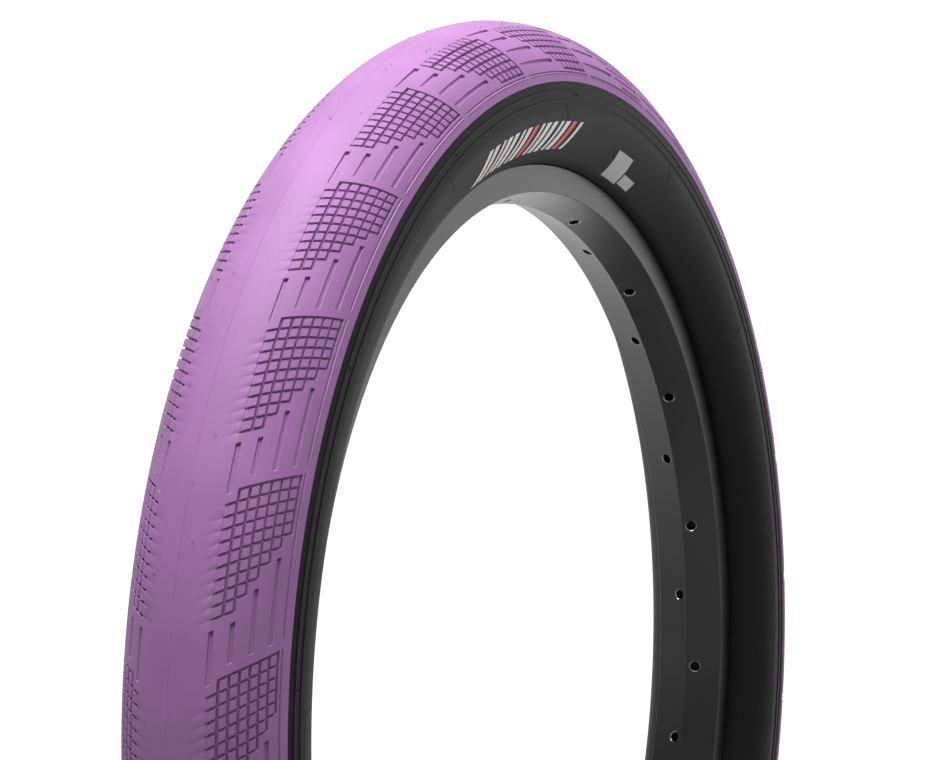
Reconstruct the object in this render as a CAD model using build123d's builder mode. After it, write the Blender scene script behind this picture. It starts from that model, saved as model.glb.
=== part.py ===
"""A BMX tyre fitted on its double-wall rim, with the tube, tape and Schrader valve inside.

Millimetres, +Z up. The origin is the wheel's centre and the wheel turns about Y. The valve stands at the
bottom of the rim and points up at the hub. "near" pieces lie on the -Y side, "far" pieces on the +Y side.
Ring profiles are drawn in the XY plane, with X as the distance from the axle and Y across the wheel.
"""

import math
import os

from build123d import *

os.makedirs("parts", exist_ok=True)

# --- Rim ---------------------------------------------------------------------------------------
bead_seat_diameter = 406.0  # ISO 406, the 20 inch BMX size
rim_width = 31.0  # outside, over the flat side bands
flange_height = 5.7  # above the bead seat
flange_wall = 1.6
band_height = 11.3  # flat side band, from the flange's top to the spoke bed's edge
spoke_bed_drop = 4.7  # how far the bed's crease lies inside its edges
spoke_bed_wall = 2.0
tyre_bed_wall = 1.5
well_depth = 2.6  # centre well below the bead seats
well_half_width = 6.0
well_slope = 1.5  # width of the ramp from the well to a bead seat
edge_radius = 0.5  # rounding of the rim's outside corners

spoke_count = 36
spoke_hole_diameter = 4.5
spoke_hole_offset = 4.0  # of each row from the rim's centre plane
spoke_hole_chamfer = 0.35
access_hole_diameter = 7.0
access_hole_offset = 2.3

sleeve_length = 24.0
sleeve_clearance = 0.05
joint_angle = 90.0  # the rim's seam, opposite the valve
valve_angle = -90.0

# --- Tyre --------------------------------------------------------------------------------------
tyre_width = 64.0
rubber_thickness = 2.7
ply_thickness = 0.5
bond = 0.1  # glue line between two layers
seat_gap = 0.15  # tyre to rim
bead_wire_diameter = 2.4
bead_neck = 0.15  # straight stretch of casing between its round section and the bead
turn_up = 1.5  # how far the plies stand up outside the bead
chafer_thickness = 0.5
chafer_rise = 2.2
tread_edge_angle = 78.5  # seen from the section's centre, 0 at the crown
breaker_edge_angle = 40.0
breaker_thickness = 0.6
tuck_radius = 8.0  # how tightly the sidewall turns in over the rim's flange
foot_inset = 0.3  # the sidewall's foot, inside the rim's outer face
foot_width = 0.6

label_thickness = 0.2
label_edge_angles = (108.0, 136.0)
label_arc = (91.0, 117.0)  # round the wheel
badge_edge_angles = (115.0, 139.0)
badge_arc = (72.0, 79.5)

# --- Tape and tube -----------------------------------------------------------------------------
strip_thickness = 0.6
strip_gap = 0.1
tube_wall = 0.9
tube_slack = 0.3  # tube to casing
tube_bead_gap = 0.6
tube_floor_half_width = 5.0
patch_thickness = 1.5
patch_half_width = 4.8
patch_length = 28.0
patch_gap = 0.1

# --- Valve -------------------------------------------------------------------------------------
valve_hole_diameter = 8.6
stem_cover_diameter = 8.1
stem_cover_height = 18.0  # above the spoke bed's crease
stem_cover_bond = 0.05
stem_diameter = 5.2
stem_height = 32.0  # above the spoke bed's crease
cap_thread_diameter = 7.7  # 8V1
cap_thread_length = 10.0
thread_lead_in = 0.5
core_thread_diameter = 5.2  # 5V1
core_thread_length = 6.5
core_thread_clearance = 0.05
core_depth = 0.8  # the core's top below the stem's tip
barrel_diameter = 3.4
barrel_length = 8.0
barrel_bore_diameter = 3.9
core_seat_drop = 1.6  # length of the taper between the two core bores
air_bore_diameter = 2.8
pin_diameter = 1.0
pin_head_diameter = 1.5
pin_head_height = 0.6
pin_clearance = 0.15
pin_travel = 1.2
pin_stop_gap = 0.2  # left under the pin's head when it is pressed
prong_hole_diameter = 3.2  # round the pin's head, between the two prongs
prong_width = 2.8
prong_height = 1.8
seal_thickness = 1.0
seal_diameter = 2.6
collar_height = 0.5  # flange that holds the seal on the pin
spring_wire = 0.3
spring_turns = 7
spring_chamber_diameter = 2.4
spring_seat = 0.8  # lip at the chamber's lower end
spring_gap = 0.05
core_floor_wall = 1.2  # between the pin's head and the spring
core_bore_spare = 1.0  # wide bore left below the pressed pin
pin_shoulder_diameter = 2.0
pin_shoulder_height = 0.5
collar_diameter = 2.2
barrel_seal_gap = 0.1
neck_diameter = 6.6  # of the stem between its cover and its thread
cap_clearance = 0.08
cap_wall = 1.1
cap_top = 1.4
cap_skirt = 9.0  # how far the cap reaches down from the stem's tip
cap_grip_count = 18
cap_grip_depth = 0.35
washer_thickness = 0.8
washer_gap = 0.2

# --- Worked out from the sizes above -------------------------------------------------------------
half_rim = rim_width / 2
seat_r = bead_seat_diameter / 2
flange_r = seat_r + flange_height
bed_edge_r = flange_r - band_height
crease_r = bed_edge_r - spoke_bed_drop
flange_inside = half_rim - flange_wall
well_r = seat_r - well_depth
well_edge = well_half_width + well_slope
bed_slope = spoke_bed_drop / half_rim

rubber_r = tyre_width / 2  # section radii: outside of the rubber, then inwards
rubber_inner_r = rubber_r - rubber_thickness
cord_r = rubber_inner_r - bond - ply_thickness - bond / 2  # the joint between the two plies
bead_wire_r = bead_wire_diameter / 2
wrap_r = bead_wire_r + bond + ply_thickness + bond / 2  # the same joint, round the bead wire
chafer_inner_r = wrap_r + bond / 2 + ply_thickness + bond
chafer_outer_r = chafer_inner_r + chafer_thickness
bead_y = flange_inside - seat_gap - chafer_outer_r
bead_r = seat_r + seat_gap + chafer_outer_r
reach = cord_r + wrap_r + bead_neck
section_r = bead_r + math.sqrt(reach**2 - bead_y**2)  # the section's centre from the axle
section = (section_r, 0.0)
bead = (bead_r, bead_y)
bead_direction = math.degrees(math.atan2(bead_y, bead_r - section_r))
leave_angle = bead_direction - math.degrees(math.acos((cord_r + wrap_r) / reach))

strip_r = well_r + strip_gap
patch_r = strip_r + strip_thickness + patch_gap
tube_floor_r = patch_r + patch_thickness + bond

tip_z = -crease_r + stem_height
cover_top_z = -crease_r + stem_cover_height
thread_bottom_z = tip_z - cap_thread_length
core_top_z = tip_z - core_depth
core_thread_end_z = core_top_z - core_thread_length
core_seat_z = core_thread_end_z - core_seat_drop
barrel_end_z = core_thread_end_z - barrel_length
chamber_floor_z = barrel_end_z + spring_seat
core_floor_z = core_top_z - pin_head_height - pin_travel - pin_stop_gap
chamber_top_z = core_floor_z - core_floor_wall
core_bore_end_z = barrel_end_z - seal_thickness - collar_height - pin_travel - core_bore_spare
stem_bottom_z = -tube_floor_r + bond


def round_point(centre, radius, degrees, side=1):
    """The point at an angle on a circle in a ring's profile; side -1 mirrors it to the near side."""
    angle = math.radians(degrees)
    return (centre[0] + radius * math.cos(angle), side * (centre[1] + radius * math.sin(angle)))


def on_rim(degrees, radius, across=0.0, lean=0.0):
    """A place on the rim: Z points out at the tyre and can lean sideways, and X runs round the rim."""
    angle = math.radians(degrees)
    origin = (radius * math.cos(angle), across, radius * math.sin(angle))
    outward = (math.cos(angle), lean, math.sin(angle))
    return Plane(origin=origin, x_dir=(-math.sin(angle), 0, math.cos(angle)), z_dir=outward).location


def finish(piece, name):
    """Names a finished piece and writes it."""
    piece.part.label = name
    export_step(piece.part, f"parts/{name}.step")


def spoke_angles(side):
    """The angles of one row of spoke holes: rows alternate, and the valve is midway between two holes."""
    pitch = 360 / spoke_count
    first = valve_angle + pitch / 2 + (pitch if side > 0 else 0)
    return [first + 2 * pitch * n for n in range(spoke_count // 2)]


def bed_surface(across, wall=0.0):
    """The spoke bed's radius at a place across the rim, on its hub side or a wall further out."""
    return crease_r + bed_slope * abs(across) + wall * math.hypot(1, bed_slope)


def partial_ring(angles, inner_r, outer_r, arc, side, start):
    """A curved plate on the tyre: its edge angles on the section, and its arc in degrees round the wheel."""
    mid = sum(angles) / 2
    with BuildPart() as plate:
        with BuildSketch(Plane.XY.rotated((0, -start, 0))):
            with BuildLine():
                outer_first = round_point(section, outer_r, angles[0], side)
                outer_last = round_point(section, outer_r, angles[1], side)
                inner_first = round_point(section, inner_r, angles[0], side)
                inner_last = round_point(section, inner_r, angles[1], side)
                ThreePointArc(outer_first, round_point(section, outer_r, mid, side), outer_last)
                Line(outer_last, inner_last)
                ThreePointArc(inner_last, round_point(section, inner_r, mid, side), inner_first)
                Line(inner_first, outer_first)
            make_face()
        revolve(axis=Axis.Y, revolution_arc=-arc)
    return plate


# --- rim: a hollow hoop, then its holes -----------------------------------------------------------
hollow_half_width = half_rim - tyre_bed_wall
hollow_seat_r = seat_r - tyre_bed_wall
hollow_well_r = well_r - tyre_bed_wall
ramp_setback = tyre_bed_wall * math.tan(math.atan2(well_depth, well_slope) / 2)


def hollow_outline(gap):
    """The hollow between the rim's two walls, drawn smaller all round by a gap."""
    half = hollow_half_width - gap
    far_half = [
        (bed_surface(half, spoke_bed_wall) + gap, half),
        (hollow_seat_r - gap, half),
        (hollow_seat_r - gap, well_edge + ramp_setback + gap),
        (hollow_well_r - gap, well_half_width + ramp_setback + gap),
    ]
    near_half = [(r, -y) for r, y in reversed(far_half)]
    return [(bed_surface(0, spoke_bed_wall) + gap, 0), *far_half, *near_half]


with BuildPart() as rim:
    with BuildSketch(Plane.XY) as hoop_section:
        with BuildLine():
            far_half = [
                (crease_r, 0),
                (bed_edge_r, half_rim),
                (flange_r, half_rim),
                (flange_r, flange_inside),
                (seat_r, flange_inside),
                (seat_r, well_edge),
                (well_r, well_half_width),
            ]
            near_half = [(r, -y) for r, y in reversed(far_half[1:])]
            Polyline(*far_half, *near_half, close=True)
        make_face()
        outside_corners = hoop_section.vertices().filter_by(lambda v: abs(v.Y) > half_rim - 0.01)
        fillet(outside_corners, edge_radius)
        flange_lips = hoop_section.vertices().filter_by(
            lambda v: v.X > flange_r - 0.01 and abs(v.Y) < flange_inside + 0.01
        )
        fillet(flange_lips, edge_radius)
        with BuildLine():
            Polyline(*hollow_outline(0), close=True)
        make_face(mode=Mode.SUBTRACT)
    revolve(axis=Axis.Y)
    for row in (-1, 1):
        across = row * spoke_hole_offset
        hole_lean = -row * bed_slope
        spoke_holes = [on_rim(a, bed_surface(across), across, hole_lean) for a in spoke_angles(row)]
        with Locations(*spoke_holes):
            Cylinder(spoke_hole_diameter / 2, 3 * spoke_bed_wall, mode=Mode.SUBTRACT)
            Cone(
                spoke_hole_diameter / 2 + 2 * spoke_hole_chamfer,
                spoke_hole_diameter / 2,
                2 * spoke_hole_chamfer,
                mode=Mode.SUBTRACT,
            )
        access_holes = [on_rim(a, well_r, row * access_hole_offset) for a in spoke_angles(row)]
        with Locations(*access_holes):
            Cylinder(access_hole_diameter / 2, 3 * tyre_bed_wall, mode=Mode.SUBTRACT)
    with Locations(on_rim(valve_angle, (crease_r + well_r) / 2)):
        Cylinder(valve_hole_diameter / 2, 2 * (well_r - crease_r), mode=Mode.SUBTRACT)
finish(rim, "rim")

# --- rim_joint_sleeve: fills the hollow behind the seam, between two spoke holes -------------------
sleeve_arc = math.degrees(sleeve_length / crease_r)
with BuildPart() as rim_joint_sleeve:
    with BuildSketch(Plane.XY.rotated((0, -(joint_angle - sleeve_arc / 2), 0))):
        with BuildLine():
            Polyline(*hollow_outline(sleeve_clearance), close=True)
        make_face()
    revolve(axis=Axis.Y, revolution_arc=-sleeve_arc)
finish(rim_joint_sleeve, "rim_joint_sleeve")

# --- rim_strip: tape in the centre well, with a hole for the valve --------------------------------
with BuildPart() as rim_strip:
    with BuildSketch(Plane.XY):
        with Locations((strip_r, 0)):
            Rectangle(
                strip_thickness,
                2 * (well_half_width - strip_gap),
                align=(Align.MIN, Align.CENTER),
            )
    revolve(axis=Axis.Y)
    with Locations(on_rim(valve_angle, strip_r)):
        Cylinder(valve_hole_diameter / 2, 4 * strip_thickness, mode=Mode.SUBTRACT)
finish(rim_strip, "rim_strip")

# --- tyre: bead wires, plies and chafers ----------------------------------------------------------
for side_name, side in (("near", -1), ("far", 1)):
    with BuildPart() as bead_wire:
        with BuildSketch(Plane.XY):
            with Locations((bead_r, side * bead_y)):
                Circle(bead_wire_r)
        revolve(axis=Axis.Y)
    finish(bead_wire, f"bead_wire_{side_name}")

wrap_start = leave_angle + 180
wrap_end = 90.0


def ply_points(depth, side):
    """One face of a ply from its round part, round the bead, to its turned-up edge."""
    around = wrap_r - depth
    leaves = round_point(section, cord_r + depth, leave_angle, side)
    meets = round_point(bead, around, wrap_start, side)
    below = round_point(bead, around, (wrap_start + wrap_end) / 2, side)
    outside = round_point(bead, around, wrap_end, side)
    edge = (outside[0] + turn_up, outside[1])
    return leaves, meets, below, outside, edge


ply_faces = {
    "casing_inner_ply": (-bond / 2 - ply_thickness, -bond / 2),
    "casing_outer_ply": (bond / 2, bond / 2 + ply_thickness),
}
for ply_name, depths in ply_faces.items():
    with BuildPart() as ply:
        with BuildSketch(Plane.XY):
            with BuildLine():
                for depth in depths:
                    crown = (section_r + cord_r + depth, 0)
                    ThreePointArc(ply_points(depth, -1)[0], crown, ply_points(depth, 1)[0])
                for side in (-1, 1):
                    for depth in depths:
                        leaves, meets, below, outside, edge = ply_points(depth, side)
                        Line(leaves, meets)
                        ThreePointArc(meets, below, outside)
                        Line(outside, edge)
                    Line(ply_points(depths[0], side)[4], ply_points(depths[1], side)[4])
            make_face()
        revolve(axis=Axis.Y)
    finish(ply, ply_name)

for side_name, side in (("near", -1), ("far", 1)):
    with BuildPart() as chafer:
        with BuildSketch(Plane.XY):
            with BuildLine():
                for radius in (chafer_inner_r, chafer_outer_r):
                    toe, heel, outside = (round_point(bead, radius, a, side) for a in (270, 180, 90))
                    ThreePointArc(toe, heel, outside)
                    Line(outside, (outside[0] + chafer_rise, outside[1]))
                toe_radii = (chafer_inner_r, chafer_outer_r)
                inner_toe, outer_toe = (round_point(bead, r, 270, side) for r in toe_radii)
                Line(inner_toe, outer_toe)
                top_r = bead_r + chafer_rise
                Line((top_r, side * (bead_y + chafer_inner_r)), (top_r, side * (bead_y + chafer_outer_r)))
            make_face()
        revolve(axis=Axis.Y)
    finish(chafer, f"chafer_{side_name}")

# --- tyre: breaker strip, tread and sidewalls -----------------------------------------------------
breaker_outer_r = rubber_inner_r + breaker_thickness
breaker_gap_angle = math.degrees(bond / rubber_inner_r)
tread_gap_angle = math.degrees(bond / rubber_r)

with BuildPart() as breaker_strip:
    with BuildSketch(Plane.XY):
        with BuildLine():
            for radius in (rubber_inner_r, breaker_outer_r):
                near_edge, far_edge = (round_point(section, radius, breaker_edge_angle, s) for s in (-1, 1))
                ThreePointArc(near_edge, (section_r + radius, 0), far_edge)
            for side in (-1, 1):
                Line(
                    round_point(section, rubber_inner_r, breaker_edge_angle, side),
                    round_point(section, breaker_outer_r, breaker_edge_angle, side),
                )
        make_face()
    revolve(axis=Axis.Y)
finish(breaker_strip, "breaker_strip")

pocket_r = breaker_outer_r + bond
pocket_angle = breaker_edge_angle + breaker_gap_angle
tread_side_angle = (pocket_angle + tread_edge_angle) / 2
with BuildPart() as tread:
    with BuildSketch(Plane.XY):
        with BuildLine():
            for radius, angle in ((rubber_r, tread_edge_angle), (pocket_r, pocket_angle)):
                near_edge, far_edge = (round_point(section, radius, angle, side) for side in (-1, 1))
                ThreePointArc(near_edge, (section_r + radius, 0), far_edge)
            for side in (-1, 1):
                pocket_top = round_point(section, pocket_r, pocket_angle, side)
                pocket_corner = round_point(section, rubber_inner_r, pocket_angle, side)
                side_mid = round_point(section, rubber_inner_r, tread_side_angle, side)
                inner_edge = round_point(section, rubber_inner_r, tread_edge_angle, side)
                Line(pocket_top, pocket_corner)
                ThreePointArc(pocket_corner, side_mid, inner_edge)
                Line(inner_edge, round_point(section, rubber_r, tread_edge_angle, side))
        make_face()
    revolve(axis=Axis.Y)
finish(tread, "tread")

sidewall_top_angle = tread_edge_angle + tread_gap_angle
foot = (flange_r + seat_gap, half_rim - foot_inset)
foot_reach = math.hypot(section_r - foot[0], foot[1])
foot_direction = math.degrees(math.atan2(foot[1], foot[0] - section_r))
tuck_centre_reach = rubber_r - tuck_radius
tuck_cosine = (tuck_centre_reach**2 + foot_reach**2 - tuck_radius**2) / (2 * tuck_centre_reach * foot_reach)
tuck_angle = foot_direction - math.degrees(math.acos(tuck_cosine))
tuck_centre = round_point(section, tuck_centre_reach, tuck_angle)
foot_angle = math.degrees(math.atan2(foot[1] - tuck_centre[1], foot[0] - tuck_centre[0])) % 360
foot_inner_y = foot[1] - foot_width
foot_inner_angle = 180 - math.degrees(math.asin(foot_inner_y / rubber_inner_r))

for side_name, side in (("near", -1), ("far", 1)):
    with BuildPart() as sidewall:
        with BuildSketch(Plane.XY):
            with BuildLine():
                top_outer, bulge, tuck_start = (
                    round_point(section, rubber_r, a, side)
                    for a in (sidewall_top_angle, (sidewall_top_angle + tuck_angle) / 2, tuck_angle)
                )
                tuck_mid = round_point(tuck_centre, tuck_radius, (tuck_angle + foot_angle) / 2, side)
                tuck_end = round_point(tuck_centre, tuck_radius, foot_angle, side)
                inner_mid_angle = (foot_inner_angle + sidewall_top_angle) / 2
                foot_inner, inner_mid, top_inner = (
                    round_point(section, rubber_inner_r, a, side)
                    for a in (foot_inner_angle, inner_mid_angle, sidewall_top_angle)
                )
                ThreePointArc(top_outer, bulge, tuck_start)
                ThreePointArc(tuck_start, tuck_mid, tuck_end)
                Line(tuck_end, foot_inner)
                ThreePointArc(foot_inner, inner_mid, top_inner)
                Line(top_inner, top_outer)
            make_face()
        revolve(axis=Axis.Y)
    finish(sidewall, f"sidewall_{side_name}")

    printed = {"label": (label_edge_angles, label_arc), "badge": (badge_edge_angles, badge_arc)}
    for mark_name, (edges, arc) in printed.items():
        mark_inner_r = rubber_r + bond / 2
        mark_outer_r = mark_inner_r + label_thickness
        mark = partial_ring(edges, mark_inner_r, mark_outer_r, arc[1] - arc[0], side, arc[0])
        finish(mark, f"{mark_name}_{side_name}")

# --- inner_tube: fills the casing and the gap between the beads ------------------------------------
tube_r = cord_r - bond / 2 - ply_thickness - tube_slack
tube_neck_y = bead_y - chafer_outer_r - tube_bead_gap
tube_neck_angle = 180 - math.degrees(math.asin(tube_neck_y / tube_r))
tube_corner_r = max(seat_r, tube_floor_r) + seat_gap

with BuildPart() as inner_tube:
    with BuildSketch(Plane.XY):
        with BuildLine():
            near_neck, far_neck = (round_point(section, tube_r, tube_neck_angle, side) for side in (-1, 1))
            ThreePointArc(near_neck, (section_r + tube_r, 0), far_neck)
            Polyline(
                far_neck,
                (tube_corner_r, tube_neck_y),
                (tube_floor_r, tube_floor_half_width),
                (tube_floor_r, -tube_floor_half_width),
                (tube_corner_r, -tube_neck_y),
                near_neck,
            )
        make_face()
        offset(amount=-tube_wall, kind=Kind.INTERSECTION, mode=Mode.SUBTRACT)
    revolve(axis=Axis.Y)
    with Locations(on_rim(valve_angle, tube_floor_r)):
        Cylinder(air_bore_diameter / 2, 4 * tube_wall, mode=Mode.SUBTRACT)
finish(inner_tube, "inner_tube")

# --- valve_stem_rubber: the pad on the tube's floor and the cover of the stem, one moulding -----------
patch_arc = math.degrees(patch_length / patch_r)
with BuildPart() as valve_stem_rubber:
    with BuildSketch(Plane.XY.rotated((0, -(valve_angle - patch_arc / 2), 0))):
        with Locations((patch_r, 0)):
            Rectangle(patch_thickness, 2 * patch_half_width, align=(Align.MIN, Align.CENTER))
    revolve(axis=Axis.Y, revolution_arc=-patch_arc)
    cover_bottom_z = -patch_r - patch_thickness / 2
    with BuildSketch(Plane.XY.offset(cover_bottom_z)):
        Circle(stem_cover_diameter / 2)
    extrude(amount=cover_top_z - cover_bottom_z)
    chamfer(valve_stem_rubber.edges().group_by(Axis.Z)[-1], thread_lead_in)
    with BuildSketch(Plane.XY.offset(cover_top_z)):
        Circle(stem_diameter / 2 + stem_cover_bond)
    extrude(amount=-(patch_r + 2 * patch_thickness + cover_top_z), mode=Mode.SUBTRACT)
finish(valve_stem_rubber, "valve_stem_rubber")

# --- valve_stem: brass, with the cap's thread outside and the core's seat inside ---------------------
stem_r = stem_diameter / 2
core_bore_r = core_thread_diameter / 2 + core_thread_clearance
barrel_bore_r = barrel_bore_diameter / 2
with BuildPart() as valve_stem:
    with BuildSketch(Plane.XZ):
        with BuildLine():
            Polyline(
                (air_bore_diameter / 2, stem_bottom_z),
                (stem_r, stem_bottom_z),
                (stem_r, cover_top_z + bond),
                (neck_diameter / 2, cover_top_z + bond),
                (neck_diameter / 2, thread_bottom_z),
                (cap_thread_diameter / 2, thread_bottom_z + thread_lead_in),
                (cap_thread_diameter / 2, tip_z - thread_lead_in),
                (cap_thread_diameter / 2 - thread_lead_in, tip_z),
                (core_bore_r, tip_z),
                (core_bore_r, core_thread_end_z),
                (barrel_bore_r, core_seat_z),
                (barrel_bore_r, core_bore_end_z),
                (air_bore_diameter / 2, core_bore_end_z),
                close=True,
            )
        make_face()
    revolve(axis=Axis.Z)
finish(valve_stem, "valve_stem")

# --- valve core: body, pin, spring and seals --------------------------------------------------------
barrel_r = barrel_diameter / 2
pin_r = pin_diameter / 2
pin_hole_r = pin_r + pin_clearance
with BuildPart() as valve_core_body:
    with BuildSketch(Plane.XZ):
        with BuildLine():
            Polyline(
                (prong_hole_diameter / 2, core_top_z),
                (core_thread_diameter / 2, core_top_z),
                (core_thread_diameter / 2, core_thread_end_z),
                (barrel_r, core_thread_end_z),
                (barrel_r, barrel_end_z),
                (pin_hole_r, barrel_end_z),
                (pin_hole_r, chamber_floor_z),
                (spring_chamber_diameter / 2, chamber_floor_z),
                (spring_chamber_diameter / 2, chamber_top_z),
                (pin_hole_r, chamber_top_z),
                (pin_hole_r, core_floor_z),
                (prong_hole_diameter / 2, core_floor_z),
                close=True,
            )
        make_face()
    revolve(axis=Axis.Z)
    for side in (-1, 1):
        with BuildSketch(Plane.XY.offset(core_top_z)):
            with Locations((0, side * prong_width / 2)):
                Rectangle(
                    core_thread_diameter,
                    core_thread_diameter,
                    align=(Align.CENTER, Align.MAX if side < 0 else Align.MIN),
                )
        extrude(amount=-prong_height, mode=Mode.SUBTRACT)
finish(valve_core_body, "valve_core_body")

shoulder_top_z = chamber_top_z - spring_gap
shoulder_z = shoulder_top_z - pin_shoulder_height
seal_top_z = barrel_end_z - spring_gap
collar_top_z = seal_top_z - seal_thickness
collar_bottom_z = collar_top_z - collar_height
with BuildPart() as valve_core_pin:
    with BuildSketch(Plane.XZ):
        with BuildLine():
            Polyline(
                (0, core_top_z),
                (pin_head_diameter / 2, core_top_z),
                (pin_head_diameter / 2, core_top_z - pin_head_height),
                (pin_r, core_top_z - pin_head_height),
                (pin_r, shoulder_top_z),
                (pin_shoulder_diameter / 2, shoulder_top_z),
                (pin_shoulder_diameter / 2, shoulder_z),
                (pin_r, shoulder_z),
                (pin_r, collar_top_z),
                (collar_diameter / 2, collar_top_z),
                (collar_diameter / 2, collar_bottom_z),
                (0, collar_bottom_z),
                close=True,
            )
        make_face()
    revolve(axis=Axis.Z)
finish(valve_core_pin, "valve_core_pin")

with BuildPart() as valve_core_seat_seal:
    with BuildSketch(Plane.XY.offset(seal_top_z)):
        Circle(seal_diameter / 2)
        Circle(pin_r + bond / 2, mode=Mode.SUBTRACT)
    extrude(amount=-(seal_thickness - bond / 2))
finish(valve_core_seat_seal, "valve_core_seat_seal")

spring_wire_r = spring_wire / 2
spring_r = (spring_chamber_diameter / 2 + pin_r) / 2
spring_bottom_z = chamber_floor_z + spring_gap + spring_wire_r
spring_top_z = shoulder_z - spring_gap - spring_wire_r
spring_height = spring_top_z - spring_bottom_z
with BuildPart() as valve_core_spring:
    with BuildLine(Plane.XY.offset(spring_bottom_z)):
        coil = Helix(pitch=spring_height / spring_turns, height=spring_height, radius=spring_r)
    with BuildSketch(Plane(origin=coil @ 0, z_dir=coil % 0)):
        Circle(spring_wire_r)
    sweep(is_frenet=True)
finish(valve_core_spring, "valve_core_spring")

seat_slope = (core_bore_r - barrel_bore_r) / core_seat_drop
seal_drop = core_seat_drop - 2 * barrel_seal_gap
with BuildPart() as valve_core_barrel_seal:
    with BuildSketch(Plane.XZ):
        with BuildLine():
            seal_inner_r = barrel_r + bond / 2
            seal_upper_r = core_bore_r - seat_slope * barrel_seal_gap - barrel_seal_gap
            Polyline(
                (seal_inner_r, core_thread_end_z - barrel_seal_gap),
                (seal_upper_r, core_thread_end_z - barrel_seal_gap),
                (seal_upper_r - seat_slope * seal_drop, core_thread_end_z - barrel_seal_gap - seal_drop),
                (seal_inner_r, core_thread_end_z - barrel_seal_gap - seal_drop),
                close=True,
            )
        make_face()
    revolve(axis=Axis.Z)
finish(valve_core_barrel_seal, "valve_core_barrel_seal")

# --- valve_cap and its washer ----------------------------------------------------------------------
washer_z = tip_z + washer_gap
cap_inner_r = cap_thread_diameter / 2 + cap_clearance
cap_outer_r = cap_inner_r + cap_wall
cap_bottom_z = tip_z - cap_skirt
cap_roof_z = washer_z + washer_thickness + bond / 2
with BuildPart() as valve_cap:
    with BuildSketch(Plane.XY.offset(cap_bottom_z)):
        Circle(cap_outer_r)
    extrude(amount=cap_roof_z + cap_top - cap_bottom_z)
    fillet(valve_cap.edges().group_by(Axis.Z)[-1], cap_top / 2)
    with BuildSketch(Plane.XY.offset(cap_bottom_z)):
        with PolarLocations(cap_outer_r, cap_grip_count):
            Circle(cap_grip_depth)
    extrude(amount=cap_roof_z - cap_bottom_z, mode=Mode.SUBTRACT)
    with BuildSketch(Plane.XY.offset(cap_bottom_z)):
        Circle(cap_inner_r)
    extrude(amount=cap_roof_z - cap_bottom_z, mode=Mode.SUBTRACT)
finish(valve_cap, "valve_cap")

with BuildPart() as valve_cap_seal:
    with BuildSketch(Plane.XY.offset(washer_z)):
        Circle(cap_inner_r - bond)
    extrude(amount=washer_thickness)
finish(valve_cap_seal, "valve_cap_seal")
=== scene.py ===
"""The looks of a BMX tyre on its rim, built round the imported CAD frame.

Metres, +Z up; the wheel turns about Y.
"""

import math
import random

import bpy
import numpy as np
from mathutils import Matrix, Vector


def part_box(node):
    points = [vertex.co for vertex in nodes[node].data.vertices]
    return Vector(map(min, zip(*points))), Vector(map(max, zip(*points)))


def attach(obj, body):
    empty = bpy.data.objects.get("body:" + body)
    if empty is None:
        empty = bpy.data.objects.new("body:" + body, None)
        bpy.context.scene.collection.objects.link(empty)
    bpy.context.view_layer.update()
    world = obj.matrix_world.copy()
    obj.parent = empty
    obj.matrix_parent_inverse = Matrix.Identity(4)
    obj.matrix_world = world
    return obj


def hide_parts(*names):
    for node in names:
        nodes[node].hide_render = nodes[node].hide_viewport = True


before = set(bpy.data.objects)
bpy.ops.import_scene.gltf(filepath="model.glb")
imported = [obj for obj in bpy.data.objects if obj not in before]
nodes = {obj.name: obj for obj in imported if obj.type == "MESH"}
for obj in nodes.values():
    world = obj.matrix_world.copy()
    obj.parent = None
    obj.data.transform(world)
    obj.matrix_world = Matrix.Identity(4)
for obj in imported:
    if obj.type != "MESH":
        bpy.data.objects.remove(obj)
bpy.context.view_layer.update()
MM = 0.001

# --- Sizes read from the frame -----------------------------------------------------------------
tread_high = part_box("tread")[1]
side_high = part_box("sidewall_far")[1]
rim_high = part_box("rim")[1]
breaker_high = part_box("breaker_strip")[1]
RUBBER_R = side_high.y  # radius of the tyre's section
SECTION_R = tread_high.x - RUBBER_R  # the section's centre from the axle
FLANGE_R = rim_high.x
HALF_RIM = rim_high.y
UNDERSIDE_R = breaker_high.x - SECTION_R + 0.1 * MM

# --- Tread pattern -----------------------------------------------------------------------------
PITCHES = 26
PITCH = math.tau / PITCHES
CELLS = 15  # cells of the pattern along one pitch
CELL = PITCH / CELLS
PATTERN_START = math.radians(144.87)  # where one patch starts, at its outermost line
SHEAR = math.radians(3.48)  # how far the cross lines lean round the wheel, per radian of section
OUTER_LINE = 1.19  # section angle of the outermost line of a patch
LINE_STEP = 0.1075
LINES = 8
TREAD_EDGE = 1.37
GROOVE_WIDTH = 1.15 * MM
GROOVE_DEPTH = 1.1 * MM
FAINT_DEPTH = 0.2 * MM
DASH_PIT = 1.3 * MM
DASH_DEPTH = 0.8 * MM
DASH_END_DEPTH = 0.4 * MM
BORDER_LINE = 1.243
BORDER_WIDTH = 0.6 * MM
BORDER_DEPTH = 0.5 * MM
RIDGE_LINE = BORDER_LINE + 0.018  # crest of the low ridge beside the border line
BORDER_RIDGE = 0.25 * MM
PARTING_HEIGHT = 0.14 * MM
EDGE_DROP = 0.25 * MM  # how far the tread's outer corner is broken
TAIL_END = 0.385  # section angle where the faint tails of the cross lines stop
LINE_STARTS = (0, 0, 0, 0, 0, 0, 0, 1)  # first cross line that each line of a patch reaches
LINE_ENDS = (5, 6, 7, 8, 9, 10, 10, 10)  # last cross line that each line of a patch reaches
LAST_CROSS_LINE = 10
FULL_CROSS_LINES = 5  # cross lines up to this one start at the outermost line, later ones in steps
CROSS_END_SHARE = 0.6  # of the full depth, on a patch's innermost line
TAIL_SHARE = 0.1  # of the full depth, on a tail
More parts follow.
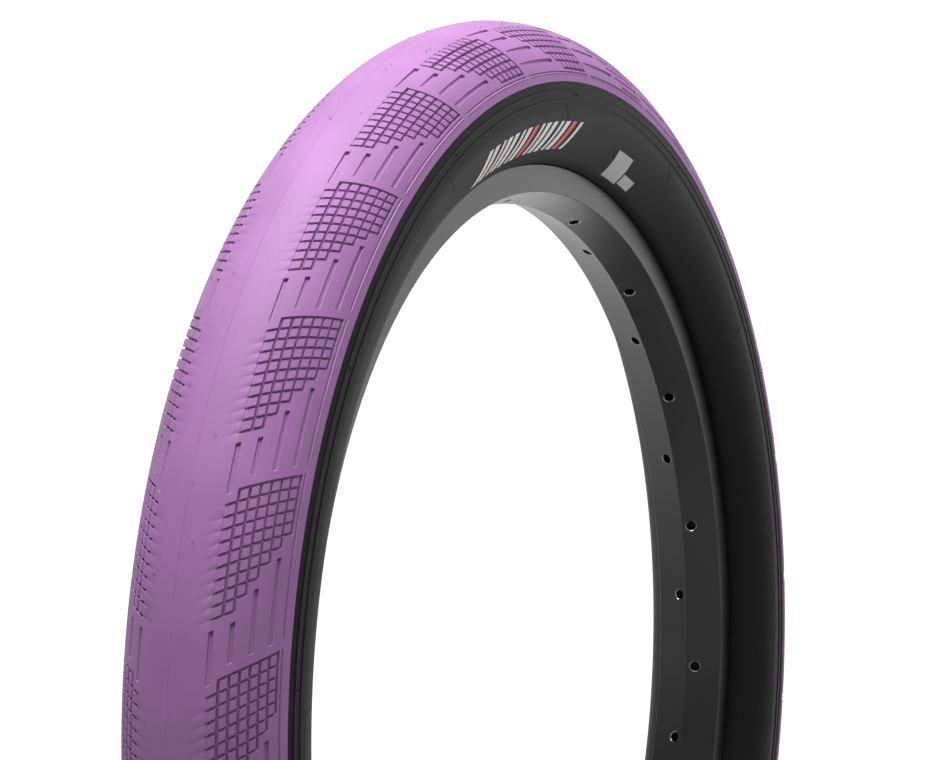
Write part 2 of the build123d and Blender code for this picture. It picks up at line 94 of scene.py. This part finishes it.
DASHES = {1: (7, 14), 3: (9, 14), 5: (11, 14), 7: (11, 15)}  # line: the cells its dash runs between
BORDER_DASH = (0, 14)
MARGIN = 0.09  # cells; past the floor of a cross line, short of its lip
FLOOR_SHARE, LIP_SHARE, DASH_LIP_SHARE = 0.2, 0.5, 0.75  # places across a groove, by its width
CROWN_ROWS = (0.0, 0.006, 0.02, 0.1, 0.2, 0.3, TAIL_END)
SHOULDER_ROWS = (BORDER_LINE + 0.03, 1.31, 1.355, TREAD_EDGE - 0.004)
UNDERSIDE_ROWS = 9


def line_angle(line):
    return OUTER_LINE - LINE_STEP * line


def section_point(theta, phi, radius):
    """A point of the tyre: angle round the wheel, angle on the section, radius from the section's centre."""
    out = SECTION_R + radius * np.cos(phi)
    return np.stack([out * np.cos(theta), radius * np.sin(phi), out * np.sin(theta)], -1)


def new_mesh(name, points, faces, material, body="wheel", sharp=30):
    """A mesh piece with smooth shading and sharp edges by angle, riding on a body."""
    mesh = bpy.data.meshes.new(name)
    face_list = faces.tolist() if isinstance(faces, np.ndarray) else faces
    mesh.from_pydata(np.asarray(points).tolist(), [], face_list)
    mesh.polygons.foreach_set("use_smooth", [True] * len(mesh.polygons))
    mesh.update()
    mesh.set_sharp_from_angle(angle=math.radians(sharp))
    mesh.materials.append(material)
    piece = bpy.data.objects.new(name, mesh)
    bpy.context.scene.collection.objects.link(piece)
    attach(piece, body)
    return piece


def ring_faces(columns, rows):
    """Quads of a grid that closes both ways: columns round the wheel, rows round the section."""
    i, j = np.meshgrid(np.arange(columns), np.arange(rows), indexing="ij")
    i2, j2 = (i + 1) % columns, (j + 1) % rows
    return np.stack([i * rows + j, i * rows + j2, i2 * rows + j2, i2 * rows + j], -1).reshape(-1, 4)


# --- Materials ---------------------------------------------------------------------------------
def material(
    name, colour, roughness, metallic=0.0, bump=0.0, bump_scale=400.0, mottling=0.12, **sockets
):
    """A procedural surface: colour broken up by noise, roughness varied by noise, and a fine bump."""
    made = bpy.data.materials.new(name)
    made.use_nodes = True
    tree = made.node_tree
    shader = tree.nodes["Principled BSDF"]
    place = tree.nodes.new("ShaderNodeTexCoord")
    clouds = tree.nodes.new("ShaderNodeTexNoise")
    clouds.inputs["Scale"].default_value = 38.0
    clouds.inputs["Detail"].default_value = 6.0
    tree.links.new(place.outputs["Object"], clouds.inputs["Vector"])
    ramp = tree.nodes.new("ShaderNodeValToRGB")
    low, high = ramp.color_ramp.elements
    low.position, high.position = 0.3, 0.7
    low.color = (*[c * (1 - mottling) for c in colour], 1)
    high.color = (*[min(1, c * (1 + mottling)) for c in colour], 1)
    tree.links.new(clouds.outputs["Fac"], ramp.inputs["Fac"])
    tree.links.new(ramp.outputs["Color"], shader.inputs["Base Color"])
    spread = tree.nodes.new("ShaderNodeMapRange")
    spread.inputs["To Min"].default_value = roughness * 0.88
    spread.inputs["To Max"].default_value = min(1, roughness * 1.12)
    tree.links.new(clouds.outputs["Fac"], spread.inputs["Value"])
    tree.links.new(spread.outputs["Result"], shader.inputs["Roughness"])
    shader.inputs["Metallic"].default_value = metallic
    if bump:
        grain = tree.nodes.new("ShaderNodeTexNoise")
        grain.inputs["Scale"].default_value = bump_scale
        grain.inputs["Detail"].default_value = 4.0
        tree.links.new(place.outputs["Object"], grain.inputs["Vector"])
        relief = tree.nodes.new("ShaderNodeBump")
        relief.inputs["Strength"].default_value = bump
        relief.inputs["Distance"].default_value = 0.1 * MM
        tree.links.new(grain.outputs["Fac"], relief.inputs["Height"])
        tree.links.new(relief.outputs["Normal"], shader.inputs["Normal"])
    for socket, value in sockets.items():
        shader.inputs[socket.replace("_", " ")].default_value = value
    return made


def calc(tree, operation, *values):
    """A Math node fed with sockets or numbers; returns its output."""
    node = tree.nodes.new("ShaderNodeMath")
    node.operation = operation
    for slot, value in zip(node.inputs, values):
        if isinstance(value, (int, float)):
            slot.default_value = value
        else:
            tree.links.new(value, slot)
    return node.outputs[0]


purple_rubber = material(
    "purple_rubber",
    (0.232, 0.110, 0.260),
    0.62,
    bump=0.6,
    bump_scale=700,
    mottling=0.08,
    Specular_IOR_Level=0.25,
)
black_rubber = material(
    "black_rubber",
    (0.006, 0.006, 0.0062),
    0.5,
    bump=0.3,
    bump_scale=700,
    mottling=0.25,
    Specular_IOR_Level=0.1,
)
butyl = material("butyl", (0.02, 0.02, 0.02), 0.5, bump=0.3)
stem_rubber = material("stem_rubber", (0.018, 0.018, 0.018), 0.5, bump=0.3)
print_white = material("print_white", (0.62, 0.61, 0.60), 0.5, mottling=0.06, bump=0.2)
print_red = material("print_red", (0.55, 0.03, 0.035), 0.5, mottling=0.06, bump=0.2)
print_grey = material("print_grey", (0.30, 0.30, 0.31), 0.5, mottling=0.1, bump=0.2)
brass = material("brass", (0.62, 0.43, 0.17), 0.28, metallic=1.0, bump=0.1)
bare_aluminium = material("bare_aluminium", (0.75, 0.76, 0.78), 0.3, metallic=1.0, bump=0.1)
bead_steel = material("bead_steel", (0.42, 0.34, 0.22), 0.35, metallic=1.0, bump=0.1)
spring_steel = material("spring_steel", (0.6, 0.6, 0.6), 0.25, metallic=1.0)
core_seal = material("core_seal", (0.30, 0.02, 0.015), 0.5)
cap_plastic = material("cap_plastic", (0.018, 0.018, 0.018), 0.38, bump=0.25)
rim_tape = material("rim_tape", (0.05, 0.05, 0.055), 0.7, bump=0.4)
cord_cloth = material("cord_cloth", (0.28, 0.2, 0.11), 0.8, bump=0.6, bump_scale=1500)
chafer_cloth = material("chafer_cloth", (0.03, 0.03, 0.03), 0.8, bump=0.6, bump_scale=1500)
breaker_cloth = material("breaker_cloth", (0.5, 0.37, 0.07), 0.8, bump=0.6, bump_scale=1500)
rim_black = material("rim_black", (0.008, 0.008, 0.0082), 0.3)
floor_paint = material("floor_paint", (0.4, 0.4, 0.4), 0.9, mottling=0.01)

BEHIND = (0.905, 0.424, 0.0)  # level, from the photograph's side of the wheel to the far side
FLOOR_BEHIND = (-0.1, 0.45, 0.0, 1.0)  # metres along BEHIND, and the floor's glow at each end
FLOOR_AROUND = (0.5, 3.0, 0.12, 0.6)  # metres from the wheel, and the floor's glow at each end


def smooth_ramp(tree, value, start, end, low, high):
    """Goes smoothly from a low to a high value while another value goes from start to end."""
    ramp = tree.nodes.new("ShaderNodeMapRange")
    ramp.interpolation_type = "SMOOTHSTEP"
    for name, number in (("From Min", start), ("From Max", end), ("To Min", low), ("To Max", high)):
        ramp.inputs[name].default_value = number
    tree.links.new(value, ramp.inputs["Value"])
    return ramp.outputs["Result"]


def vector_math(tree, operation, vector, output, other=(0, 0, 0)):
    """A Vector Math node fed with a socket and a fixed vector; returns the named output."""
    node = tree.nodes.new("ShaderNodeVectorMath")
    node.operation = operation
    tree.links.new(vector, node.inputs[0])
    node.inputs[1].default_value = other
    return node.outputs[output]


def glow(made):
    """The floor glows white behind the wheel and fades in all round it."""
    tree = made.node_tree
    shader = tree.nodes["Principled BSDF"]
    place = tree.nodes.new("ShaderNodeTexCoord").outputs["Object"]
    behind = vector_math(tree, "DOT_PRODUCT", place, "Value", BEHIND)
    around = vector_math(tree, "LENGTH", place, "Value")
    behind_glow = smooth_ramp(tree, behind, *FLOOR_BEHIND)
    around_glow = smooth_ramp(tree, around, *FLOOR_AROUND)
    strength = calc(tree, "MAXIMUM", behind_glow, around_glow)
    tree.links.new(strength, shader.inputs["Emission Strength"])
    shader.inputs["Emission Color"].default_value = (1, 1, 1, 1)


glow(floor_paint)

# Painted glint: a lighter, metallic ring round each spoke hole of the rim, so that the holes' lips catch light
# as highlights.
SPOKE_ROWS = ((math.radians(15), -4 * MM), (math.radians(5), 4 * MM))
SPOKE_STEP = math.radians(20)
GLINT_RING_RADIUS = 2.62 * MM
GLINT_RING_COLOUR = (0.26, 0.26, 0.27, 1)


def square(tree, value):
    return calc(tree, "MULTIPLY", value, value)


def distance(tree, a, b):
    """The length of a flat vector from its two parts."""
    return calc(tree, "SQRT", calc(tree, "ADD", square(tree, a), square(tree, b)))


def paint_spoke_hole_glints(made):
    """Paints a lighter, metallic ring in a small circle round each spoke hole of a finish: a painted glint at
    the holes' lips.
    """
    tree = made.node_tree
    shader = tree.nodes["Principled BSDF"]
    place = tree.nodes.new("ShaderNodeTexCoord")
    split = tree.nodes.new("ShaderNodeSeparateXYZ")
    tree.links.new(place.outputs["Object"], split.inputs[0])
    x, y, z = split.outputs
    theta = calc(tree, "ARCTAN2", z, x)
    radius = distance(tree, x, z)
    masks = []
    for start, across in SPOKE_ROWS:
        past = calc(tree, "SUBTRACT", theta, start)
        turned = calc(tree, "WRAP", past, SPOKE_STEP / 2, -SPOKE_STEP / 2)
        along = calc(tree, "MULTIPLY", turned, radius)
        aside = calc(tree, "SUBTRACT", y, across)
        masks.append(calc(tree, "LESS_THAN", distance(tree, along, aside), GLINT_RING_RADIUS))
    glint_ring = calc(tree, "MAXIMUM", *masks)
    colour = shader.inputs["Base Color"].links[0].from_socket
    mix = tree.nodes.new("ShaderNodeMix")
    mix.data_type = "RGBA"
    tree.links.new(glint_ring, mix.inputs[0])
    tree.links.new(colour, mix.inputs[6])
    mix.inputs[7].default_value = GLINT_RING_COLOUR
    tree.links.new(mix.outputs[2], shader.inputs["Base Color"])
    tree.links.new(glint_ring, shader.inputs["Metallic"])


# Painted glint: lighter metallic rings round the rim's spoke holes.
paint_spoke_hole_glints(rim_black)

CAD_MATERIALS = {
    "rim": rim_black,
    "rim_joint_sleeve": bare_aluminium,
    "rim_strip": rim_tape,
    "inner_tube": butyl,
    "casing_inner_ply": cord_cloth,
    "casing_outer_ply": cord_cloth,
    "chafer_near": chafer_cloth,
    "chafer_far": chafer_cloth,
    "breaker_strip": breaker_cloth,
    "bead_wire_near": bead_steel,
    "bead_wire_far": bead_steel,
    "valve_stem_rubber": stem_rubber,
    "valve_stem": brass,
    "valve_core_body": brass,
    "valve_core_pin": brass,
    "valve_core_spring": spring_steel,
    "valve_core_seat_seal": core_seal,
    "valve_core_barrel_seal": core_seal,
    "valve_cap": cap_plastic,
    "valve_cap_seal": butyl,
}
for node_name, finish in CAD_MATERIALS.items():
    for slot in nodes[node_name].material_slots:
        slot.material = finish


# --- Tread: one closed mesh whose lines of points follow the grooves -----------------------------
def groove_stations(centres, width, shares=(FLOOR_SHARE, LIP_SHARE)):
    """Places across each groove, at shares of its width from its middle: the floor's edges, then the lips."""
    return [
        (centre + side * width * share, n, share)
        for n, centre in enumerate(centres)
        for side in (-1, 1)
        for share in shares
    ]


def tread_rows():
    """Section angles from the crown out to the tread's edge, each with its line and its place across it."""
    lines = [line_angle(n) for n in range(LINES)]
    rows = [(angle, None, LIP_SHARE) for angle in CROWN_ROWS + SHOULDER_ROWS]
    rows += groove_stations(lines, GROOVE_WIDTH / RUBBER_R, (FLOOR_SHARE, LIP_SHARE, DASH_LIP_SHARE))
    border = groove_stations([BORDER_LINE], BORDER_WIDTH / RUBBER_R)
    rows += [(angle, "border", share) for angle, _, share in border]
    rows.append((RIDGE_LINE, "ridge", 0.0))
    return sorted(rows, key=lambda row: row[0])


def tread_columns():
    """Places along one pitch, in cells, each with its cross line and its place across it."""
    width = GROOVE_WIDTH / (SECTION_R + RUBBER_R) / CELL
    return sorted(groove_stations(range(CELLS), width))


def dash_depth(place, first, last):
    """A dash starts in a deep round pit and gets shallower towards its end."""
    if place < first - MARGIN or place > last + MARGIN:
        return 0.0
    if place < first + MARGIN:
        return DASH_PIT
    return DASH_DEPTH + (DASH_END_DEPTH - DASH_DEPTH) * (place - first) / (last - first)


def cross_line_depth(line, angle):
    """How deep a cross line is at a section angle: a patch's lines start in steps and fade at the crown."""
    if line > LAST_CROSS_LINE:
        return 0.0
    top = line_angle(max(0, line - FULL_CROSS_LINES))
    innermost = line_angle(LINES - 1)
    bottom = line_angle(LINES - 2) if line == 0 else innermost
    margin = 0.3 * GROOVE_WIDTH / RUBBER_R
    if angle > top + margin:
        return 0.0
    if angle >= bottom - margin:
        return GROOVE_DEPTH if angle > innermost + margin else CROSS_END_SHARE * GROOVE_DEPTH
    if line < 2 or angle < TAIL_END - 0.001:
        return 0.0
    return TAIL_SHARE * GROOVE_DEPTH


def row_line_depth(line, place, share):
    """How deep a line round the wheel is at a place along the pitch, in cells; dashes are wider than lines."""
    if line == "border":
        inside = BORDER_DASH[0] - MARGIN <= place <= BORDER_DASH[1]
        return BORDER_DEPTH if inside else 0.0
    depth = 0.0
    if share < LIP_SHARE and LINE_STARTS[line] - MARGIN <= place <= LINE_ENDS[line] + MARGIN:
        depth = FAINT_DEPTH if line == LINES - 1 else GROOVE_DEPTH
    if line in DASHES and share < DASH_LIP_SHARE:
        dash = DASHES[line]
        depth = max(depth, dash_depth(place, *dash), dash_depth(place + CELLS, *dash))
    return depth


def tread_depths(rows, columns):
    """The depth of the pattern under the smooth surface for every column and row."""
    depths = np.zeros((len(columns), len(rows)))
    for i, (place, cross, cross_share) in enumerate(columns):
        for j, (angle, line, line_share) in enumerate(rows):
            depth = 0.0
            if cross_share < LIP_SHARE:
                depth = cross_line_depth(cross, angle)
            if line == "ridge":
                depth = -BORDER_RIDGE if row_line_depth("border", place, 0) else 0.0
            elif line == "border":
                if line_share < LIP_SHARE:
                    depth = max(depth, row_line_depth(line, place, 0))
            elif line is not None:
                depth = max(depth, row_line_depth(line, place, line_share))
            depths[i, j] = depth
    return depths


def build_tread():
    rows, columns = tread_rows(), tread_columns()
    depths = tread_depths(rows, columns)
    depths[:, 0] = -PARTING_HEIGHT
    angles = np.array([row[0] for row in rows])
    phi = np.concatenate([-angles[::-1], angles[1:]])
    depth = np.concatenate([depths[:, ::-1], depths[:, 1:]], 1)
    under = np.linspace(TREAD_EDGE, -TREAD_EDGE, UNDERSIDE_ROWS)
    section_angles = np.concatenate([phi, [TREAD_EDGE], under, [-TREAD_EDGE]])
    edge = np.full((len(columns), 1), RUBBER_R - EDGE_DROP)
    underside = np.full((len(columns), UNDERSIDE_ROWS), UNDERSIDE_R)
    radii = np.concatenate([RUBBER_R - depth, edge, underside, edge], 1)
    places = np.array([column[0] for column in columns]) * CELL
    theta = (PATTERN_START + np.arange(PITCHES)[:, None] * PITCH + places[None, :]).reshape(-1)
    lean = SHEAR * (OUTER_LINE - np.abs(section_angles))
    turned = theta[:, None] + lean[None, :]
    points = section_point(turned, section_angles[None, :], np.tile(radii, (PITCHES, 1)))
    faces = ring_faces(len(theta), len(section_angles))
    tread = new_mesh("tread_moulded", points.reshape(-1, 3), faces, purple_rubber)
    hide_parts("tread")


build_tread()

# --- Sidewalls: a revolved profile with fine ribs by the tread ------------------------------------
SIDE_SEGMENTS = 520
SIDE_STEP = 0.45 * MM  # the black side lies this far under the tread's edge
STEP_END, STEP_FADE = 0.26, 0.12  # beyond the tread's edge: where the step starts to fade, and how fast
RIBS = ((0.115, 0.4 * MM, 0.022), (0.235, 0.4 * MM, 0.020))  # beyond the edge, height, half width
RIB_ZONE, PLAIN_START = 0.4, 0.42  # beyond the tread's edge: the finely divided part, and the rest
RIB_ROWS, PLAIN_ROWS, TUCK_ROWS, SIDE_UNDER_ROWS = 61, 24, 14, 12
TUCK_R = 8 * MM
SIDE_TOP = TREAD_EDGE + 0.003
FOOT = (FLANGE_R + 0.15 * MM, HALF_RIM - 0.3 * MM)
FOOT_LIP = 0.6 * MM
SIDE_UNDER_R = RUBBER_R - 2.6 * MM


def side_height(angle):
    """The side's surface against the section's circle: a step down from the tread, two ribs, then flush."""
    beyond = angle - TREAD_EDGE
    drop = SIDE_STEP * (1 - min(1, max(0, (beyond - STEP_END) / STEP_FADE)))
    rise = sum(height * max(0, 1 - ((beyond - at) / half) ** 2) for at, height, half in RIBS)
    return rise - drop


def side_profile():
    """Closed profile of the far side as (distance from the axle, y)."""
    foot_reach = math.hypot(SECTION_R - FOOT[0], FOOT[1])
    foot_direction = math.atan2(FOOT[1], FOOT[0] - SECTION_R)
    reach = RUBBER_R - TUCK_R
    cosine = (reach**2 + foot_reach**2 - TUCK_R**2) / (2 * reach * foot_reach)
    tuck_angle = foot_direction - math.acos(cosine)
    centre = (SECTION_R + reach * math.cos(tuck_angle), reach * math.sin(tuck_angle))
    foot_angle = math.atan2(FOOT[1] - centre[1], FOOT[0] - centre[0]) % math.tau
    ribbed = np.linspace(SIDE_TOP, SIDE_TOP + RIB_ZONE, RIB_ROWS)
    plain = np.linspace(SIDE_TOP + PLAIN_START, tuck_angle, PLAIN_ROWS)
    outline = []
    for angle in (*ribbed, *plain):
        radius = RUBBER_R + side_height(angle)
        outline.append((SECTION_R + radius * math.cos(angle), radius * math.sin(angle)))
    for angle in np.linspace(tuck_angle, foot_angle, TUCK_ROWS)[1:]:
        outline.append((centre[0] + TUCK_R * math.cos(angle), centre[1] + TUCK_R * math.sin(angle)))
    inner_end = math.pi - math.asin((FOOT[1] - FOOT_LIP) / SIDE_UNDER_R)
    for angle in np.linspace(inner_end, SIDE_TOP, SIDE_UNDER_ROWS):
        outline.append((SECTION_R + SIDE_UNDER_R * math.cos(angle), SIDE_UNDER_R * math.sin(angle)))
    return np.array(outline)


def build_sidewall(name, side):
    outline = side_profile()
    theta = np.linspace(0, math.tau, SIDE_SEGMENTS, endpoint=False)
    out, across = outline[:, 0], outline[:, 1] * side
    widths = np.tile(across, (SIDE_SEGMENTS, 1))
    points = np.stack([np.cos(theta)[:, None] * out, widths, np.sin(theta)[:, None] * out], -1)
    faces = ring_faces(SIDE_SEGMENTS, len(outline))
    if side < 0:
        faces = faces[:, ::-1]
    wall = new_mesh(f"sidewall_{name}_moulded", points.reshape(-1, 3), faces, black_rubber)
    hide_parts(f"sidewall_{name}")


# --- Marks on the sides: plain slanted bars and blocks, raised a little like print ------------------
MARK_LIFT = 0.05 * MM
MARK_THICKNESS = 0.15 * MM
BAR_LEAN = math.radians(2.6)  # how far a bar's head is turned back round the wheel from its foot
LABEL_TOP, LABEL_FOOT = 1.87, 2.26  # section angles
LABEL_START, LABEL_END = math.radians(92.8), math.radians(116.2)
BARS = 15
BAR_SHARE, THIN_BAR_SHARE = 0.62, 0.4  # of a bar's step; every third bar is thin
RED_BARS = (1, 7)
BADGE_BLOCKS = ((2.02, 2.43, 75.4, 79.3), (2.24, 2.40, 72.2, 75.1))  # section angles, then degrees
MARK_ROWS, MARK_COLUMNS = 8, 4


def side_patch(side, top, foot, start, end, lean, lifts=(MARK_LIFT, MARK_LIFT + MARK_THICKNESS)):
    """Points and faces of a thin closed plate that lies on the side; lean turns its head round the wheel."""
    points, faces = [], []
    for lift in lifts:
        for i in range(MARK_ROWS + 1):
            down = i / MARK_ROWS
            angle = top + (foot - top) * down
            for j in range(MARK_COLUMNS + 1):
                theta = start + (end - start) * j / MARK_COLUMNS + lean * (1 - down)
                radius = RUBBER_R + side_height(angle) + lift
                points.append(section_point(np.array(theta), np.array(angle * side), radius))
    width = MARK_COLUMNS + 1
    layer = (MARK_ROWS + 1) * width
    for i in range(MARK_ROWS):
        for j in range(MARK_COLUMNS):
            a, b, c, d = i * width + j, i * width + j + 1, (i + 1) * width + j + 1, (i + 1) * width + j
            faces += [(a, b, c, d), (a + layer, d + layer, c + layer, b + layer)]
    edge_loop = list(range(width)) + [i * width + MARK_COLUMNS for i in range(1, MARK_ROWS + 1)]
    edge_loop += [MARK_ROWS * width + j for j in range(MARK_COLUMNS - 1, -1, -1)]
    edge_loop += [i * width for i in range(MARK_ROWS - 1, 0, -1)]
    for a, b in zip(edge_loop, edge_loop[1:] + edge_loop[:1]):
        faces.append((a, a + layer, b + layer, b))
    if side < 0:
        faces = [face[::-1] for face in faces]
    return points, faces


def joined(patches):
    """Several sets of points and faces as one."""
    points, faces = [], []
    for patch_points, patch_faces in patches:
        base = len(points)
        points += patch_points
        faces += [tuple(base + n for n in face) for face in patch_faces]
    return points, faces


def build_marks(name, side):
    step = (LABEL_END - LABEL_START) / BARS
    white, red = [], []
    for n in range(BARS):
        start = LABEL_START + n * step
        share = BAR_SHARE if n % 3 else THIN_BAR_SHARE
        bar = side_patch(side, LABEL_TOP, LABEL_FOOT, start, start + step * share, -BAR_LEAN)
        (red if n in RED_BARS else white).append(bar)
    label = new_mesh(f"label_{name}_bars", *joined(white), print_white)
    accents = new_mesh(f"label_{name}_accents", *joined(red), print_red)
    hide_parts(f"label_{name}")
    blocks = [
        side_patch(side, top, foot, math.radians(start), math.radians(end), 0)
        for top, foot, start, end in BADGE_BLOCKS
    ]
    badge = new_mesh(f"badge_{name}_blocks", *joined(blocks), print_grey)
    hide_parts(f"badge_{name}")


# --- Mould traces: fine radial lines, vent pips and rubber hairs -----------------------------------
VENT_STEP = 2 * PITCH
VENT_START = math.radians(149.2)
VENTS = PITCHES // 2
MOULD_LINE_LIFTS = (-0.1 * MM, 0.1 * MM)
MOULD_LINE_TOP, MOULD_LINE_FOOT = 1.66, 1.92  # section angles
MOULD_LINE_WIDTH = math.radians(0.06)
MOULD_LINE_LEAN = math.radians(0.9)
PIP_ANGLE = 1.535
PIP_BACK = math.radians(1.4)  # from the mould line
PIP_RADIUS, PIP_LENGTH = 0.4 * MM, 0.5 * MM
STUD_ROOT = 0.3 * MM  # how deep a stud is set in the rubber
STUD_TAPER = 0.75
HAIRS = 150
HAIR_BANDS = ((0.0, 0.36), (1.285, 1.34), (0.3, 0.37))  # section angles


def stud(place, outward, radius, length, sides=8):
    """Points and faces of a small tapered stud standing on a surface."""
    outward = Vector(outward).normalized()
    across = outward.orthogonal().normalized()
    other = outward.cross(across)
    foot = Vector(place) - outward * STUD_ROOT
    points = []
    for along, wide in ((0, 1), (STUD_ROOT, 1), (STUD_ROOT + length, STUD_TAPER)):
        for n in range(sides):
            turn = math.tau * n / sides
            spoke = across * math.cos(turn) + other * math.sin(turn)
            points.append(foot + outward * along + spoke * radius * wide)
    faces = [tuple(range(sides))[::-1], tuple(range(2 * sides, 3 * sides))]
    for level in (0, sides):
        for n in range(sides):
            m = (n + 1) % sides
            faces.append((level + n, level + m, level + sides + m, level + sides + n))
    return [tuple(p) for p in points], faces


def surface_stud(theta, phi, surface, radius, length, tilt=(0, 0, 0)):
    """A stud on the tyre at an angle round the wheel and an angle on the section, tilted by a vector."""
    place = section_point(np.array(theta), np.array(phi), surface)
    outward = (math.cos(phi) * math.cos(theta), math.sin(phi), math.cos(phi) * math.sin(theta))
    return stud(place, [o + t for o, t in zip(outward, tilt)], radius, length)


def build_mould_traces():
    lines, pips = [], []
    for side in (-1, 1):
        for n in range(VENTS):
            theta = VENT_START + n * VENT_STEP
            ends = (theta, theta + MOULD_LINE_WIDTH)
            line = (MOULD_LINE_TOP, MOULD_LINE_FOOT, *ends, MOULD_LINE_LEAN, MOULD_LINE_LIFTS)
            lines.append(side_patch(side, *line))
            surface = RUBBER_R + side_height(PIP_ANGLE)
            pip = (theta - PIP_BACK, side * PIP_ANGLE, surface, PIP_RADIUS, PIP_LENGTH)
            pips.append(surface_stud(*pip))
    traces = new_mesh("mould_lines", *joined(lines), black_rubber)
    studs = new_mesh("vent_pips", *joined(pips), black_rubber)


def build_hairs():
    """Short rubber hairs that the mould's vents leave on the tread."""
    pick = random.Random(7)
    hairs = []
    for _ in range(HAIRS):
        theta = pick.uniform(0, math.tau)
        side = pick.choice((-1, 1))
        phi = side * pick.choice([pick.uniform(*band) for band in HAIR_BANDS])
        tilt = [pick.uniform(-0.6, 0.6) for _ in range(3)]
        radius = pick.uniform(0.1, 0.17) * MM
        length = pick.uniform(0.4, 1.3) * MM
        hairs.append(surface_stud(theta, phi, RUBBER_R, radius, length, tilt))
    piece = new_mesh("tread_hairs", *joined(hairs), purple_rubber)


for side_name, side_sign in (("near", -1), ("far", 1)):
    build_sidewall(side_name, side_sign)
    build_marks(side_name, side_sign)
build_mould_traces()
build_hairs()

# --- Studio: pale floor, soft lights, camera ------------------------------------------------------
SCREEN = (0.6, 0.85, 0.0, 1.05)  # cosine to BEHIND, and the room's strength at each end
ROOM = (0.0, 0.5, 0.6, 0.12)  # height of the direction, and the room's strength at each end
FLOOR_REACH = 12.0

scene = bpy.context.scene
scene.view_settings.view_transform = "Standard"


def build_world():
    """White behind the wheel, a soft grey room all round, darkest overhead."""
    world = bpy.data.worlds.new("studio")
    scene.world = world
    world.use_nodes = True
    sky = world.node_tree
    direction = sky.nodes.new("ShaderNodeTexCoord").outputs["Generated"]
    split = sky.nodes.new("ShaderNodeSeparateXYZ")
    sky.links.new(direction, split.inputs[0])
    behind = vector_math(sky, "DOT_PRODUCT", direction, "Value", BEHIND)
    screen = smooth_ramp(sky, behind, *SCREEN)
    room = smooth_ramp(sky, calc(sky, "ABSOLUTE", split.outputs["Z"]), *ROOM)
    background = sky.nodes["Background"]
    sky.links.new(calc(sky, "MAXIMUM", screen, room), background.inputs["Strength"])
    background.inputs["Color"].default_value = (1.0, 1.0, 1.0, 1)


build_world()

floor_mesh = bpy.data.meshes.new("floor")
corners = [(x * FLOOR_REACH, y * FLOOR_REACH, -tread_high.x) for x, y in ((-1, -1), (1, -1), (1, 1), (-1, 1))]
floor_mesh.from_pydata(corners, [], [(0, 1, 2, 3)])
floor_mesh.materials.append(floor_paint)
floor = bpy.data.objects.new("floor", floor_mesh)
scene.collection.objects.link(floor)


def area_light(name, place, target, size, power, colour=(1, 1, 1)):
    """A soft rectangular light that stands at a place and faces a target."""
    lamp = bpy.data.lights.new(name, "AREA")
    lamp.shape = "RECTANGLE"
    lamp.size, lamp.size_y = size
    lamp.energy = power
    lamp.color = colour
    holder = bpy.data.objects.new(name, lamp)
    holder.location = place
    holder.rotation_euler = (Vector(target) - Vector(place)).to_track_quat("-Z", "Y").to_euler()
    scene.collection.objects.link(holder)


area_light("key_soft", (-0.38, 0.05, 1.0), (-0.15, 0, 0.15), (0.6, 0.6), 22, (1.0, 0.985, 0.97))
area_light("side_card", (1.7, -0.95, 0.5), (0, 0, 0.1), (1.3, 1.6), 6)
area_light("front_fill", (-0.5, -1.5, 0.9), (-0.1, 0, 0.1), (0.7, 0.7), 4)
area_light("top_soft", (0.3, -0.4, 1.3), (0.05, 0, 0.15), (0.9, 0.9), 5)

CAMERA_AZIMUTH = math.radians(-64.747)
CAMERA_ELEVATION = math.radians(6.430)
CAMERA_DISTANCE = 1.1556
CAMERA_PAN = math.radians(-0.832)
CAMERA_TILT = math.radians(-5.965)
CAMERA_ROLL = math.radians(-0.346)
LENS = 105.32

level = math.cos(CAMERA_ELEVATION)
eye_x, eye_y = math.sin(CAMERA_AZIMUTH) * level, -math.cos(CAMERA_AZIMUTH) * level
eye = CAMERA_DISTANCE * Vector((eye_x, eye_y, math.sin(CAMERA_ELEVATION)))
aim = eye.to_track_quat("Z", "Y").to_matrix()
tilt_pan = Matrix.Rotation(CAMERA_TILT, 3, "X") @ Matrix.Rotation(CAMERA_PAN, 3, "Y")
turn = Matrix.Rotation(CAMERA_ROLL, 3, "Z") @ tilt_pan
camera_data = bpy.data.cameras.new("camera")
camera_data.lens = LENS
camera = bpy.data.objects.new("camera", camera_data)
camera.matrix_world = Matrix.Translation(eye) @ (aim @ turn.transposed()).to_4x4()
scene.collection.objects.link(camera)
scene.camera = camera
